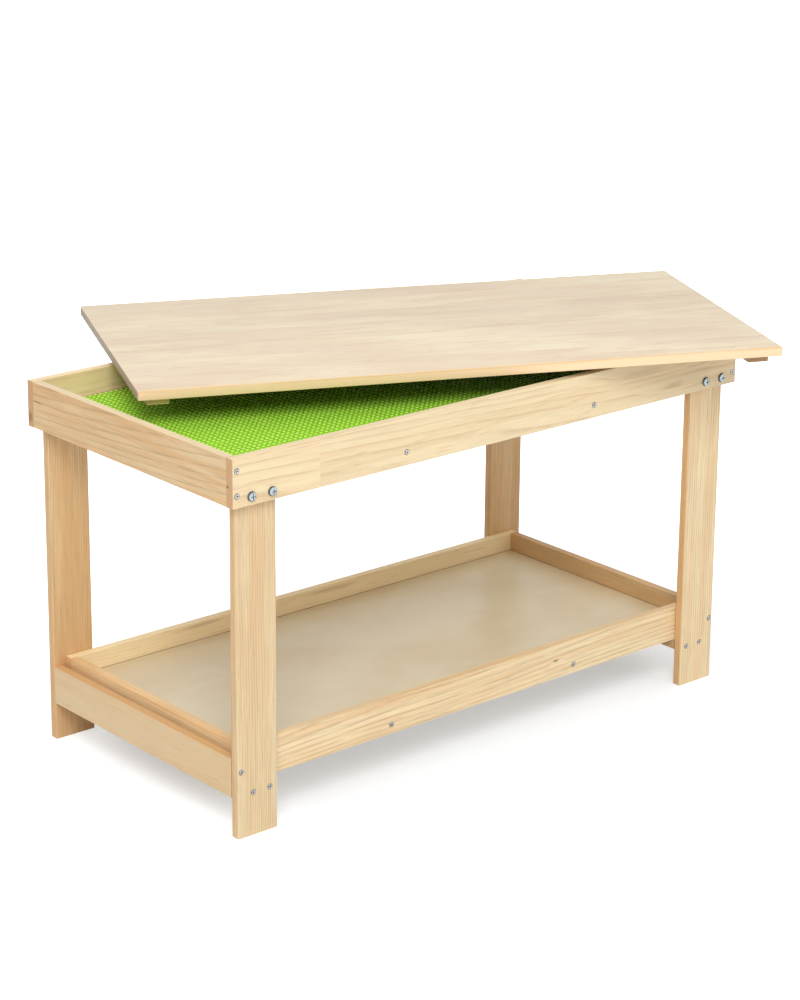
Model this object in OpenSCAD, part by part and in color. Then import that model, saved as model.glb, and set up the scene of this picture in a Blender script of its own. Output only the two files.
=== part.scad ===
// Kids play table with a brick-plate tray, a lift-off lid and a storage box underneath.
// Millimetres, +Z up. The floor is z = 0 and the origin is under the middle of the
// whole object as it stands, with its lid laid askew on the tray.

/* [Tray] */
// Length of the tray, outside its boards
tray_length = 836; // [810:1:1200]
// Width of the tray, outside its boards
tray_width = 422; // [412:1:700]
// Height of the tray's rim above the floor
rim_height = 480; // [380:1:600]
// Height of the boards round the tray
tray_depth = 60; // [58:0.5:90]
// Thickness of the boards round the tray
board_thickness = 12; // [10:0.5:16]
// From the rim down to the top of the tray's floor panel
floor_depth = 33; // [29:0.5:35]
// Thickness of both floor panels
panel_thickness = 4; // [3:0.5:5]
// How deep the panels reach into the boards
groove_depth = 4; // [2:0.5:5]

/* [Floor battens] */
// Thickness of the battens under both floor panels
batten_thickness = 12; // [8:0.5:13]
// Width of the battens under both floor panels
batten_width = 30; // [20:1:60]
// Distance between the middles of the two battens under a panel
batten_spacing = 313; // [200:1:400]

/* [Legs] */
// Width of a leg, along the table
leg_width = 60; // [52:1:90]
// Thickness of a leg, across the table
leg_thickness = 12; // [10:0.5:18]
// Radius of the rounded edges of a leg
leg_edge_radius = 2; // [0.5:0.1:4]
// Radius of the eased edges of the other boards
edge_radius = 1; // [0.4:0.1:1.4]

/* [Lower frame] */
// Height of the lower frame's underside above the floor
frame_height = 50; // [20:0.5:120]
// Height of the end rails
end_rail_height = 50; // [36:0.5:90]
// Thickness of the end rails
end_rail_thickness = 12; // [10:0.5:16]
// Width of the flat cleats that carry the storage box
cleat_width = 48; // [40:1:90]
// Thickness of the flat cleats
cleat_thickness = 14; // [10:0.5:16]

/* [Storage box] */
// Height of the storage box
box_height = 47.5; // [44:0.5:90]
// Thickness of the boards round the storage box
box_board_thickness = 12; // [10:0.5:16]
// From the box's rim down to the top of its floor panel
box_floor_depth = 25; // [20:0.5:26]
// Gap between the box and the legs, on each side
box_side_gap = 0.5; // [0.3:0.1:3]
// Gap between the box and an end rail
box_end_gap = 5; // [1:0.5:20]

/* [Lid] */
// Thickness of the lid
lid_thickness = 12; // [10:0.5:18]
// How far the lid reaches past the tray when it is closed, on each side
lid_overhang = 0; // [0:0.5:20]
// Radius of the lid's corners, seen from above
lid_corner_radius = 3; // [1.5:0.5:20]
// Thickness of the battens under the lid
lid_batten_thickness = 10; // [8:0.5:20]
// Width of the battens under the lid
lid_batten_width = 28; // [20:1:60]
// Play between a lid batten's side and the tray's end board, with the lid closed
lid_batten_play = 1.5; // [0.5:0.1:4]
// Play between a lid batten's end and the tray's long board, with the lid closed
lid_batten_end_play = 3; // [1:0.5:40]
// How far to the right the lid is pushed
lid_shift_x = 82; // [60:1:100]
// How far to the back the lid is pushed
lid_shift_y = 35; // [20:1:40]
// How far the lid is turned, anticlockwise from above
lid_turn = -24.8; // [-28:0.1:-22]

/* [Brick plates] */
// Distance from one stud to the next
stud_pitch = 8; // [7.8:0.1:8]
// Least space left between a plate and the tray's end board
plate_end_space = 20; // [1:0.5:100]
// Least space left between a plate and the tray's front and back boards
plate_side_space = 6; // [1:0.5:60]
// Diameter of a stud
stud_diameter = 4.9; // [4.7:0.1:5.1]
// Height of a stud
stud_height = 1.7; // [1.6:0.1:2]
// Thickness of the sheet under the studs
plate_sheet = 1.3; // [1:0.1:2]
// Gap between the two plates
plate_gap = 0.2; // [0.1:0.1:2]

/* [Wood screws] */
// Diameter of a wood screw's shank
screw_diameter = 4; // [3:0.1:4.5]
// Length of a wood screw
screw_length = 35; // [26:0.5:45]
// Diameter of a wood screw's head
screw_head = 7.6; // [7:0.1:9]
// Length of the short screws that hold the lid's battens
lid_screw_length = 18; // [15:0.5:18]
// Short screws in each lid batten
lid_screws = 3; // [2:1:5]
// From the tray's rim down to its upper corner screws
upper_screw_drop = 15; // [12:0.1:18]
// From the tray boards' lower edge up to their lower corner screws
lower_screw_rise = 15; // [12:0.1:16]
// From an end rail's top down to its screw
end_screw_drop = 14.5; // [8:0.5:16]
// Distance between the two screws at a cleat's end
cleat_screw_spacing = 25; // [20:0.5:30]
// From the lower frame's underside up to the cleat screws
cleat_screw_rise = 5.5; // [4:0.1:9]

/* [Leg bolts] */
// Diameter of a leg bolt
bolt_diameter = 6; // [5:0.5:6]
// Diameter of a leg bolt's head
bolt_head = 12; // [11:0.5:13]
// Height of a leg bolt's head
bolt_head_height = 3.8; // [3:0.1:5]
// Distance between the two bolts of a leg
bolt_spacing = 30; // [20:1:34]
// From the tray boards' lower edge up to the leg bolts
bolt_rise = 11; // [8:0.1:13]
// How far a bolt's end stands out of its nut
bolt_tail = 4.4; // [1:0.1:8]
// Width of a nut across its flats
nut_width = 10; // [8:0.5:10]
// Thickness of a nut
nut_thickness = 5; // [4:0.5:6]
// Diameter of a washer
washer_diameter = 12; // [10:0.5:14]
// Thickness of a washer
washer_thickness = 1.6; // [1:0.1:2]

/* [Hidden] */

$fn = 48;
fit = 0.05;          // play round a screw or bolt in its hole, and of a panel in its groove
screw_tip = 5;       // length of a wood screw's point
screw_sink = 2.6;    // depth of its sunk head
screw_crown = 0.5;   // how far its crown stands proud
recess_width = 1.1;  // one arm of the cross recess in a head
recess_share = 0.55; // length of that arm, as a share of the head's diameter
recess_depth = 1.6;
thread_chamfer = 0.8;
past = 1;            // how far a cut runs past a face

// Tray
tray_x = tray_length / 2;
tray_y = tray_width / 2;
tray_inner_x = tray_x - board_thickness;
tray_inner_y = tray_y - board_thickness;
tray_bottom = rim_height - tray_depth;
floor_top = rim_height - floor_depth;
floor_underside = floor_top - panel_thickness;
batten_x = batten_spacing / 2;
corner_screw_x = tray_x - board_thickness / 2;
corner_screw_zs = [rim_height - upper_screw_drop, tray_bottom + lower_screw_rise];
batten_screw_z = floor_underside - batten_thickness / 2;

// Legs
leg_outer_x = tray_inner_x;
leg_inner_x = leg_outer_x - leg_width;
leg_middle_x = leg_outer_x - leg_width / 2;
leg_outer_y = tray_inner_y;
leg_inner_y = leg_outer_y - leg_thickness;
bolt_z = tray_bottom + bolt_rise;
bolt_length = board_thickness + leg_thickness + washer_thickness + nut_thickness + bolt_tail;

// Lower frame
end_rail_inner_x = leg_outer_x - end_rail_thickness;
end_rail_top = frame_height + end_rail_height;
cleat_inner_x = end_rail_inner_x - cleat_width;
cleat_top = frame_height + cleat_thickness;
cleat_screw_x = (end_rail_inner_x + max(leg_inner_x, cleat_inner_x)) / 2;

// Storage box
box_x = end_rail_inner_x - box_end_gap;
box_y = leg_inner_y - box_side_gap;
box_inner_x = box_x - box_board_thickness;
box_inner_y = box_y - box_board_thickness;
box_rim = cleat_top + box_height;
box_floor_top = box_rim - box_floor_depth;
box_floor_underside = box_floor_top - panel_thickness;
box_screw_x = box_x - box_board_thickness / 2;
box_screw_zs = [(box_rim + box_floor_top) / 2, (box_floor_underside + cleat_top) / 2];
box_batten_screw_z = box_floor_underside - batten_thickness / 2;

// Lid, in its own directions about its own middle
lid_x = tray_x + lid_overhang;
lid_y = tray_y + lid_overhang;
lid_batten_x = tray_inner_x - lid_batten_play - lid_batten_width / 2;
lid_batten_length = 2 * (tray_inner_y - lid_batten_end_play);
lid_screw_step = lid_batten_length / lid_screws;
lid_underside = rim_height + lid_batten_thickness;

// Brick plates, each of as many whole studs as the tray has room for
studs_along = floor((tray_inner_x - plate_end_space) / stud_pitch);
studs_across = floor(2 * (tray_inner_y - plate_side_space) / stud_pitch);
plate_x = studs_along * stud_pitch - plate_gap;
plate_y = studs_across * stud_pitch - plate_gap;
stud_margin = stud_pitch - stud_diameter;

// The middle of the whole object's outline, seen from above, from the tray's middle
lid_corner_x = lid_x - lid_corner_radius;
lid_corner_y = lid_y - lid_corner_radius;
lid_reach_x =
    lid_corner_x * cos(lid_turn) + lid_corner_y * abs(sin(lid_turn)) + lid_corner_radius;
lid_reach_y =
    lid_corner_x * abs(sin(lid_turn)) + lid_corner_y * cos(lid_turn) + lid_corner_radius;
middle_x = (max(tray_x, lid_shift_x + lid_reach_x) + min(-tray_x, lid_shift_x - lid_reach_x)) / 2;
middle_y = (max(tray_y, lid_shift_y + lid_reach_y) + min(-tray_y, lid_shift_y - lid_reach_y)) / 2;

// ---- Places ----

// Puts what is drawn about the tray's middle into the object's own frame
module at_table() {
    translate([-middle_x, -middle_y, 0]) children();
}

// Lays what is drawn about the lid's middle, from its underside up, on the tray
module at_lid() {
    at_table()
        translate([lid_shift_x, lid_shift_y, lid_underside])
            rotate([0, 0, lid_turn])
                children();
}

// A copy at the left and one at the right
module both_ends() {
    children();
    mirror([1, 0, 0]) children();
}

// A copy in each of the four corners
module four_corners() {
    both_ends() {
        children();
        mirror([0, 1, 0]) children();
    }
}

// ---- Boards ----

module eased_rectangle(width, height, radius) {
    square([width - 2 * radius, height], center = true);
    square([width, height - 2 * radius], center = true);
    for (side = [-1, 1], level = [-1, 1])
        translate([side * (width / 2 - radius), level * (height / 2 - radius)])
            circle(r = radius);
}

// A board along X, with its four long edges eased, its middle at x = y = 0
module long_board(length, thickness, bottom, top) {
    translate([0, 0, (bottom + top) / 2])
        rotate([90, 0, 90])
            linear_extrude(height = length, center = true)
                eased_rectangle(thickness, top - bottom, edge_radius);
}

// The same along Y
module cross_board(length, thickness, bottom, top) {
    rotate([0, 0, 90]) long_board(length, thickness, bottom, top);
}

// The space of a floor panel that is let into the boards round it
module panel(inner_x, inner_y, top, play) {
    translate([0, 0, top - panel_thickness / 2])
        cube([
            2 * (inner_x + groove_depth + play - fit),
            2 * (inner_y + groove_depth + play - fit),
            panel_thickness + 2 * play
        ], center = true);
}

// ---- Fasteners, each with its head at the origin and its point towards +Y ----

module cross_recess(head, crown) {
    for (turn = [0, 90])
        rotate([0, turn, 0])
            translate([0, (recess_depth - past) / 2 - crown, 0])
                cube([recess_width, recess_depth + past, head * recess_share], center = true);
}

// A sunk wood screw, grown all round by play where it is used as a hole
module screw_body(length, play) {
    shank = screw_diameter / 2 + play;
    head = screw_head / 2 + play;
    rotate([-90, 0, 0])
        rotate_extrude()
            polygon([
                [0, -screw_crown],
                [head * 0.72, -screw_crown],
                [head, 0],
                [shank, screw_sink],
                [shank, length - screw_tip],
                [0, length + play]
            ]);
}

module screw(length = screw_length) {
    difference() {
        screw_body(length, 0);
        cross_recess(screw_head, screw_crown);
    }
}

module screw_hole(length = screw_length) {
    screw_body(length, fit);
}

module leg_bolt() {
    head = bolt_head / 2;
    rotate([-90, 0, 0])
        rotate_extrude()
            polygon([
                [0, -bolt_head_height],
                [head * 0.55, -bolt_head_height * 0.97],
                [head * 0.86, -bolt_head_height * 0.72],
                [head, -bolt_head_height * 0.25],
                [head, 0],
                [bolt_diameter / 2, 0],
                [bolt_diameter / 2, bolt_length - thread_chamfer],
                [bolt_diameter / 2 - thread_chamfer, bolt_length],
                [0, bolt_length]
            ]);
}

module bolt_hole() {
    rotate([-90, 0, 0])
        translate([0, 0, -past])
            cylinder(d = bolt_diameter + 2 * fit, h = bolt_length + past);
}

// ---- Where the fasteners go ----

module at_corner_screws() {
    four_corners()
        for (z = corner_screw_zs)
            translate([corner_screw_x, -tray_y, z]) children();
}

module at_batten_screws() {
    four_corners()
        translate([batten_x, -tray_y, batten_screw_z]) children();
}

module at_leg_bolts() {
    four_corners()
        for (side = [-1, 1])
            translate([leg_middle_x + side * bolt_spacing / 2, -tray_y, bolt_z]) children();
}

module at_end_rail_screws() {
    four_corners()
        translate([
            leg_outer_x - end_rail_thickness / 2,
            -leg_outer_y,
            end_rail_top - end_screw_drop
        ]) children();
}

module at_cleat_screws() {
    four_corners()
        for (side = [-1, 1])
            translate([
                cleat_screw_x + side * cleat_screw_spacing / 2,
                -leg_outer_y,
                frame_height + cleat_screw_rise
            ]) children();
}

module at_box_corner_screws() {
    four_corners()
        for (z = box_screw_zs)
            translate([box_screw_x, -box_y, z]) children();
}

module at_box_batten_screws() {
    four_corners()
        translate([batten_x, -box_y, box_batten_screw_z]) children();
}

// From under the lid's battens up into the lid
module at_lid_screws() {
    both_ends()
        for (i = [0 : lid_screws - 1])
            translate([
                lid_batten_x,
                (i - (lid_screws - 1) / 2) * lid_screw_step,
                -lid_batten_thickness + screw_crown
            ])
                rotate([90, 0, 0]) children();
}

// ---- Tray ----

module tray_holes() {
    at_corner_screws() screw_hole();
    at_batten_screws() screw_hole();
    at_leg_bolts() bolt_hole();
    panel(tray_inner_x, tray_inner_y, floor_top, fit);
}

module tray_long_board(side) {
    color("burlywood")
        at_table()
            difference() {
                translate([0, side * (tray_y - board_thickness / 2), 0])
                    long_board(tray_length, board_thickness, tray_bottom, rim_height);
                tray_holes();
            }
}

module tray_end_board(side) {
    color("burlywood")
        at_table()
            difference() {
                translate([side * (tray_x - board_thickness / 2), 0, 0])
                    cross_board(2 * tray_inner_y, board_thickness, tray_bottom, rim_height);
                tray_holes();
            }
}

module tray_front_board() { tray_long_board(-1); }
module tray_back_board() { tray_long_board(1); }
module tray_left_board() { tray_end_board(-1); }
module tray_right_board() { tray_end_board(1); }

module tray_floor_panel() {
    color("tan")
        at_table() panel(tray_inner_x, tray_inner_y, floor_top, 0);
}

module tray_batten(side) {
    color("burlywood")
        at_table()
            difference() {
                translate([side * batten_x, 0, 0])
                    cross_board(
                        2 * tray_inner_y, batten_width,
                        floor_underside - batten_thickness, floor_underside
                    );
                at_batten_screws() screw_hole();
            }
}

module tray_batten_left() { tray_batten(-1); }
module tray_batten_right() { tray_batten(1); }

module tray_corner_screws() {
    color("silver")
        at_table() at_corner_screws() screw();
}

module tray_batten_screws() {
    color("silver")
        at_table() at_batten_screws() screw();
}

// ---- Brick plates: a sheet with its field of studs, drawn here as one raised field ----

module brick_plate(side) {
    color("limegreen")
        at_table()
            translate([side * (plate_x + plate_gap) / 2, 0, floor_top]) {
                translate([0, 0, plate_sheet / 2])
                    cube([plate_x, plate_y, plate_sheet], center = true);
                translate([0, 0, (plate_sheet + stud_height) / 2])
                    cube([
                        plate_x - stud_margin,
                        plate_y - stud_margin,
                        plate_sheet + stud_height
                    ], center = true);
            }
}

module brick_plate_left() { brick_plate(-1); }
module brick_plate_right() { brick_plate(1); }

// ---- Legs ----

// A leg with its four long edges rounded, and the corners of its broad faces too
module leg_shape() {
    intersection() {
        linear_extrude(height = floor_underside)
            eased_rectangle(leg_width, leg_thickness, leg_edge_radius);
        translate([0, 0, floor_underside / 2])
            rotate([90, 0, 0])
                linear_extrude(height = leg_thickness, center = true)
                    eased_rectangle(leg_width, floor_underside, leg_edge_radius);
    }
}

module leg(side, end) {
    color("wheat")
        at_table()
            difference() {
                translate([side * leg_middle_x, end * (leg_outer_y - leg_thickness / 2), 0])
                    leg_shape();
                at_leg_bolts() bolt_hole();
                at_end_rail_screws() screw_hole();
                at_cleat_screws() screw_hole();
            }
}

module leg_front_left() { leg(-1, -1); }
module leg_front_right() { leg(1, -1); }
module leg_back_left() { leg(-1, 1); }
module leg_back_right() { leg(1, 1); }

module leg_bolts() {
    color("silver")
        at_table()
            at_leg_bolts()
                difference() {
                    leg_bolt();
                    cross_recess(bolt_head, bolt_head_height);
                }
}

module leg_bolt_washers() {
    color("gainsboro")
        at_table()
            at_leg_bolts()
                translate([0, board_thickness + leg_thickness, 0])
                    rotate([-90, 0, 0])
                        difference() {
                            cylinder(d = washer_diameter, h = washer_thickness);
                            translate([0, 0, -past])
                                cylinder(
                                    d = bolt_diameter + 4 * fit,
                                    h = washer_thickness + 2 * past
                                );
                        }
}

module leg_bolt_nuts() {
    color("silver")
        at_table()
            at_leg_bolts()
                translate([0, board_thickness + leg_thickness + washer_thickness, 0])
                    rotate([-90, 0, 0])
                        difference() {
                            cylinder(d = nut_width / cos(30), h = nut_thickness, $fn = 6);
                            translate([0, 0, -past])
                                cylinder(d = bolt_diameter + 2 * fit, h = nut_thickness + 2 * past);
                        }
}

// ---- Lower frame ----

module end_rail(side) {
    color("burlywood")
        at_table()
            difference() {
                translate([side * (leg_outer_x - end_rail_thickness / 2), 0, 0])
                    cross_board(2 * leg_inner_y, end_rail_thickness, frame_height, end_rail_top);
                at_end_rail_screws() screw_hole();
            }
}

module end_rail_left() { end_rail(-1); }
module end_rail_right() { end_rail(1); }

module end_rail_screws() {
    color("silver")
        at_table() at_end_rail_screws() screw();
}

module cleat(side) {
    color("burlywood")
        at_table()
            difference() {
                translate([side * (end_rail_inner_x - cleat_width / 2), 0, 0])
                    cross_board(2 * leg_inner_y, cleat_width, frame_height, cleat_top);
                at_cleat_screws() screw_hole();
            }
}

module cleat_left() { cleat(-1); }
module cleat_right() { cleat(1); }

module cleat_screws() {
    color("silver")
        at_table() at_cleat_screws() screw();
}

// ---- Storage box ----

module box_holes() {
    at_box_corner_screws() screw_hole();
    at_box_batten_screws() screw_hole();
    panel(box_inner_x, box_inner_y, box_floor_top, fit);
}

module box_long_board(side) {
    color("wheat")
        at_table()
            difference() {
                translate([0, side * (box_y - box_board_thickness / 2), 0])
                    long_board(2 * box_x, box_board_thickness, cleat_top, box_rim);
                box_holes();
            }
}

module box_end_board(side) {
    color("wheat")
        at_table()
            difference() {
                translate([side * (box_x - box_board_thickness / 2), 0, 0])
                    cross_board(2 * box_inner_y, box_board_thickness, cleat_top, box_rim);
                box_holes();
            }
}

module box_front_board() { box_long_board(-1); }
module box_back_board() { box_long_board(1); }
module box_left_board() { box_end_board(-1); }
module box_right_board() { box_end_board(1); }

module box_floor_panel() {
    color("tan")
        at_table() panel(box_inner_x, box_inner_y, box_floor_top, 0);
}

module box_batten(side) {
    color("burlywood")
        at_table()
            difference() {
                translate([side * batten_x, 0, 0])
                    cross_board(
                        2 * box_inner_y, batten_width,
                        box_floor_underside - batten_thickness, box_floor_underside
                    );
                at_box_batten_screws() screw_hole();
            }
}

module box_batten_left() { box_batten(-1); }
module box_batten_right() { box_batten(1); }

module box_corner_screws() {
    color("silver")
        at_table() at_box_corner_screws() screw();
}

module box_batten_screws() {
    color("silver")
        at_table() at_box_batten_screws() screw();
}

// ---- Lid ----

module lid_board() {
    color("blanchedalmond")
        at_lid()
            difference() {
                linear_extrude(height = lid_thickness)
                    eased_rectangle(2 * lid_x, 2 * lid_y, lid_corner_radius);
                at_lid_screws() screw_hole(lid_screw_length);
            }
}

module lid_batten(side) {
    color("burlywood")
        at_lid()
            difference() {
                translate([side * lid_batten_x, 0, 0])
                    cross_board(lid_batten_length, lid_batten_width, -lid_batten_thickness, 0);
                at_lid_screws() screw_hole(lid_screw_length);
            }
}

module lid_batten_left() { lid_batten(-1); }
module lid_batten_right() { lid_batten(1); }

module lid_batten_screws() {
    color("silver")
        at_lid() at_lid_screws() screw(lid_screw_length);
}

tray_front_board();
tray_back_board();
tray_left_board();
tray_right_board();
tray_floor_panel();
tray_batten_left();
tray_batten_right();
brick_plate_left();
brick_plate_right();
tray_corner_screws();
tray_batten_screws();
leg_front_left();
leg_front_right();
leg_back_left();
leg_back_right();
leg_bolts();
leg_bolt_washers();
leg_bolt_nuts();
end_rail_left();
end_rail_right();
end_rail_screws();
cleat_left();
cleat_right();
cleat_screws();
box_front_board();
box_back_board();
box_left_board();
box_right_board();
box_floor_panel();
box_batten_left();
box_batten_right();
box_corner_screws();
box_batten_screws();
lid_board();
lid_batten_left();
lid_batten_right();
lid_batten_screws();
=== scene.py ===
"""Finish and stage of a kids play table with brick plates, a loose lid and a storage box."""

import math
from dataclasses import dataclass

import bmesh
import bpy
from bpy.props import FloatProperty, FloatVectorProperty, IntProperty, PointerProperty
from mathutils import Euler, Matrix, Vector


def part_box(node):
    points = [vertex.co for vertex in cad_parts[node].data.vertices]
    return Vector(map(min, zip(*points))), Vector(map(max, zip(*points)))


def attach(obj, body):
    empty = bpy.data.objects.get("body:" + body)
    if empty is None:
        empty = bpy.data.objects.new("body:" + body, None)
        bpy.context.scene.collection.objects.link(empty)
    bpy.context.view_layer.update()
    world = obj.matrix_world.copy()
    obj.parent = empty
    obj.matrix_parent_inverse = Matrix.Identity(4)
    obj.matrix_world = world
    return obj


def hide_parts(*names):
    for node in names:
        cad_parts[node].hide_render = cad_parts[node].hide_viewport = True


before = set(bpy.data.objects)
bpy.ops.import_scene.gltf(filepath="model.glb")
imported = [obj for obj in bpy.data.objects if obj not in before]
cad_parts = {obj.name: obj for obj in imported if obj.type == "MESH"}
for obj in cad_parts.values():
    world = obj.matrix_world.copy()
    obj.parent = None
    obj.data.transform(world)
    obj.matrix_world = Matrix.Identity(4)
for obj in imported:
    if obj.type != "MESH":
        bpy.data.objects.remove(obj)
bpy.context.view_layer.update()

bl_info = {
    "name": "Kids Play Table",
    "version": (1, 0, 0),
    "blender": (4, 5, 0),
    "location": "View3D > Sidebar > Play Table",
    "description": "Finishes a wooden play table with brick plates, a lid and a storage box",
    "category": "Add Mesh",
}

MM = 0.001


# ---- Sizes and colours ----


def colour_property(name, description, default):
    return FloatVectorProperty(
        name=name, description=description, default=default,
        size=3, subtype="COLOR", min=0.0, max=1.0,
    )


def length_property(name, description, default, low=0.0, high=20.0):
    return FloatProperty(
        name=name, description=description, default=default, min=low, max=high,
        unit="LENGTH", subtype="DISTANCE", precision=5,
    )


def share_property(name, description, default):
    return FloatProperty(
        name=name, description=description, default=default, min=0.0, max=1.0, subtype="FACTOR"
    )


class PineSettings(bpy.types.PropertyGroup):
    """The sanded pine of the boards and legs"""

    early_wood: colour_property(
        "Early wood", "Pale wood between the growth rings", (0.88, 0.715, 0.445)
    )
    late_wood: colour_property(
        "Late wood", "Darker line that ends each growth ring", (0.56, 0.34, 0.15)
    )
    heart_wood: colour_property(
        "Heart wood", "Warmer wood nearer the middle of the tree", (0.80, 0.51, 0.245)
    )
    end_grain: colour_property("End grain", "Cut ends of the boards", (0.61, 0.325, 0.145))
    knot: colour_property("Knot", "Small knots", (0.24, 0.10, 0.03))
    ring_spacing: length_property(
        "Ring spacing", "Distance from one growth ring to the next", 3.4 * MM
    )
    ring_sway: length_property("Ring sway", "How far the rings stray from circles", 10 * MM)
    joint_step: length_property(
        "Joint step", "How far the rings are out of step beyond a joint in a board", 3 * MM
    )
    ring_contrast: share_property(
        "Ring contrast", "How strongly the growth rings show", 0.62
    )
    roughness: share_property("Roughness", "Roughness of the sanded surface", 0.52)
    relief: length_property("Relief", "Height of the grain and fibres", 0.22 * MM)
    streak_contrast: share_property(
        "Streak contrast", "How strongly the broad streaks along a board show", 0.45
    )
    fleck_contrast: share_property(
        "Fleck contrast", "How strongly the short brown flecks show", 0.3
    )
    # Painted shade: the orange that narrow sides are given, standing in for the warm darkening
    # where less light falls on them.
    narrow_side_shade: colour_property(
        "Edge wood", "Orange wood of some narrow sides", (0.76, 0.46, 0.21)
    )


class LidSettings(bpy.types.PropertyGroup):
    """The lid, glued up from paler strips"""

    wood: colour_property("Wood", "Pale wood of the lid", (0.87, 0.755, 0.54))
    streak: colour_property("Streak", "Its browner streaks and flecks", (0.68, 0.50, 0.34))
    edge: colour_property("Edge", "Yellower wood along its long edges", (0.98, 0.71, 0.42))
    arris: colour_property("Arris", "Orange line along its upper edge", (0.82, 0.52, 0.23))
    # The cut ends' grey is partly end grain and partly painted shade.
    end: colour_property("End", "Greyish cut ends", (0.42, 0.33, 0.25))
    blush: colour_property("Blush", "Pinkish clouds in its face", (0.78, 0.61, 0.45))
    # The underside is darkened as painted shade, so that the gap under the lid stays dark.
    underside: colour_property("Underside", "Browner, unsanded underside", (0.40, 0.29, 0.18))
    streak_contrast: share_property(
        "Streak contrast", "How strongly the broad streaks show", 0.36
    )
    line_contrast: share_property(
        "Line contrast", "How strongly the grain lines show in them", 0.14
    )
    fleck_contrast: share_property("Fleck contrast", "How strongly the flecks show", 0.55)
    line_spacing: length_property(
        "Line spacing", "Distance from one grain line to the next", 13 * MM
    )
    strip_width: length_property("Strip width", "Width of one glued strip", 62 * MM)
    strip_shift: share_property(
        "Strip shift", "How far the strips are shifted across the lid, as a share of one", 0.4
    )
    corner_radius: length_property("Corner radius", "Radius of the corners from above", 3 * MM)
    edge_radius: length_property("Edge radius", "Radius of the eased edges", 1.0 * MM)
    knot_along: length_property(
        "Knot along", "From the lid's middle along to its one small knot", 355.6 * MM
    )
    knot_across: length_property(
        "Knot across", "From the lid's middle across to its one small knot", 195.4 * MM
    )
    knot_size: length_property("Knot size", "Half the length of that knot across", 2.6 * MM)
    border_width: length_property(
        "Border width", "How far in from its long edges the face turns yellower", 9 * MM
    )
    arris_width: length_property(
        "Arris width", "How far in from the edge the orange line reaches on the face", 2.5 * MM
    )
    arris_depth: length_property(
        "Arris depth", "How far down the long sides the orange line reaches", 3 * MM
    )
    roughness: share_property("Roughness", "Roughness of the lid's face", 0.5)
    relief: length_property("Relief", "Height of the fibres and pores", 0.15 * MM)


class PanelSettings(bpy.types.PropertyGroup):
    """The thin floor panels of the tray and the storage box"""

    face: colour_property("Face", "Smooth grey-beige face", (0.735, 0.65, 0.465))
    # The patch colour also serves as painted shade along the boards, in the corners where the panel
    # meets them.
    patch_and_shade: colour_property("Patch", "Warmer cloudy patches", (0.67, 0.53, 0.34))
    joint: colour_property("Joint", "Dark line where a panel meets its boards", (0.16, 0.09, 0.04))
    joint_inset: length_property(
        "Joint inset", "From the panel's hidden edge to the boards' faces", 4.0 * MM
    )
    joint_width: length_property("Joint width", "Width of the dark line and its blur", 2.4 * MM)
    # Painted shade: how far that warmer colour reaches in from the boards.
    painted_shade_reach: length_property(
        "Patch reach", "How far in from the boards the warmer colour reaches", 30 * MM
    )
    roughness: share_property("Roughness", "Roughness of the face", 0.3)
    relief: length_property("Relief", "Height of the faint veneer lines", 0.08 * MM)


class PlateSettings(bpy.types.PropertyGroup):
    """The studded brick plates"""

    green: colour_property("Green", "Green of the plastic", (0.60, 0.95, 0.12))
    # Painted shade: this darker green stands in for the shade down between the studs, not for a
    # second plastic.
    painted_gap_shade: colour_property("Gap green", "Darker green between the studs", (0.28, 0.58, 0.028))
    stud_pitch: length_property("Stud pitch", "Distance from one stud to the next", 8 * MM)
    stud_diameter: length_property("Stud diameter", "Diameter of a stud", 4.9 * MM)
    stud_height: length_property("Stud height", "Height of a stud", 1.7 * MM)
    stud_chamfer: length_property("Stud chamfer", "Eased rim of a stud", 0.3 * MM)
    stud_sides: IntProperty(
        name="Stud sides", description="Sides of a stud's outline", default=12, min=6, max=24
    )
    roughness: share_property("Roughness", "Roughness of the plastic", 0.32)
    relief: length_property("Relief", "Height of the moulded texture", 0.03 * MM)


class ZincSettings(bpy.types.PropertyGroup):
    """The zinc-plated screws and bolts"""

    bright: colour_property("Bright", "Bright plating of the screws", (0.88, 0.87, 0.82))
    bluish: colour_property("Bluish", "Bright, bluish plating of the bolts", (0.60, 0.70, 0.74))
    dull: colour_property("Dull", "Duller patches", (0.30, 0.31, 0.32))
    # The rim colour is painted shade and reflection: slopes and recesses of the heads are coloured
    # dark where they turn away.
    rim: colour_property("Rim", "Dark slopes and recesses of the heads", (0.08, 0.09, 0.10))
    roughness: share_property("Roughness", "Roughness of the plating", 0.26)
    relief: length_property("Relief", "Depth of the fine marks", 0.03 * MM)
    screw_flatness: share_property(
        "Screw flatness", "How squarely a screw's face looks forward where it is still bright", 0.99
    )
    bolt_flatness: share_property(
        "Bolt flatness", "How squarely a bolt's face looks forward where it is still bright", 0.8
    )


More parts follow.
